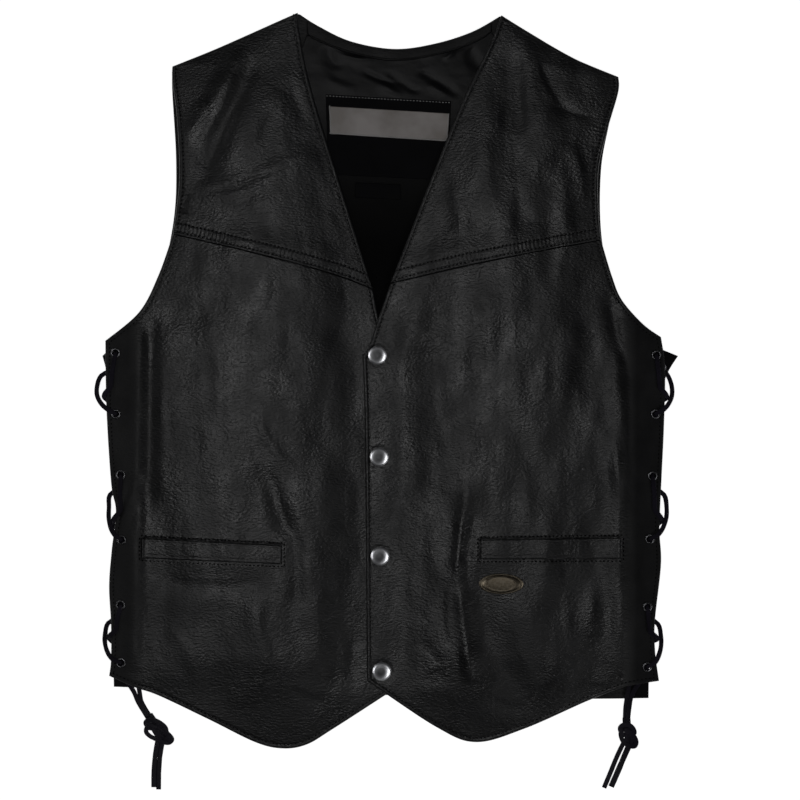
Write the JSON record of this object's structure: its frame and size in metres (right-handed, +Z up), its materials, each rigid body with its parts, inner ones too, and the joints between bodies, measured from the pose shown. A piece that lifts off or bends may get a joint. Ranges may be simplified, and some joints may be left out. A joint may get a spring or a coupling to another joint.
{
  "type": "leather vest",
  "caption": "Snap-front leather vest with yokes, welt pockets and laced sides, laid flat on its back with the front up.",
  "frame": {"origin": "centre of the vest's plan, without its laces, on the surface that it lies on", "axes": "+X towards the wearer's left side, +Y towards the neck, +Z up through the front"},
  "size_m": [0.5258, 0.7001, 0.0171],
  "materials": {
    "leather": "fine pebbled grain, semi-matt",
    "satin": "satin",
    "label": "satin",
    "gunmetal": "dark, polished",
    "brass": "antique",
    "thong": "matt"
  },
  "bodies": {
    "root": {"back": "leather", "neck_facing": "leather", "back_lining": "satin", "front_right_body": "leather", "front_right_yoke": "leather", "front_left_body": "leather", "front_left_yoke": "leather", "neck_label": "leather", "label_band": "label", "size_tab": "satin", "welt_right": "leather", "welt_left": "leather", "snap_1": "gunmetal", "snap_2": "gunmetal", "snap_3": "gunmetal", "snap_4": "gunmetal", "badge": "brass", "eyelet_front_right_1": "gunmetal", "eyelet_front_right_2": "gunmetal", "eyelet_front_right_3": "gunmetal", "eyelet_front_right_4": "gunmetal", "eyelet_front_right_5": "gunmetal", "eyelet_front_right_6": "gunmetal", "eyelet_back_right_1": "gunmetal", "eyelet_back_right_2": "gunmetal", "eyelet_back_right_3": "gunmetal", "eyelet_back_right_4": "gunmetal", "eyelet_back_right_5": "gunmetal", "eyelet_back_right_6": "gunmetal", "eyelet_front_left_1": "gunmetal", "eyelet_front_left_2": "gunmetal", "eyelet_front_left_3": "gunmetal", "eyelet_front_left_4": "gunmetal", "eyelet_front_left_5": "gunmetal", "eyelet_front_left_6": "gunmetal", "eyelet_back_left_1": "gunmetal", "eyelet_back_left_2": "gunmetal", "eyelet_back_left_3": "gunmetal", "eyelet_back_left_4": "gunmetal", "eyelet_back_left_5": "gunmetal", "eyelet_back_left_6": "gunmetal", "lace_right": "thong", "lace_right_knot": "thong", "lace_right_end_a": "thong", "lace_right_end_b": "thong", "lace_right_tail_a": "thong", "lace_right_tail_b": "thong", "lace_left": "thong", "lace_left_knot": "thong", "lace_left_end_a": "thong", "lace_left_end_b": "thong", "lace_left_tail_a": "thong", "lace_left_tail_b": "thong"}
  },
  "joints": []
}
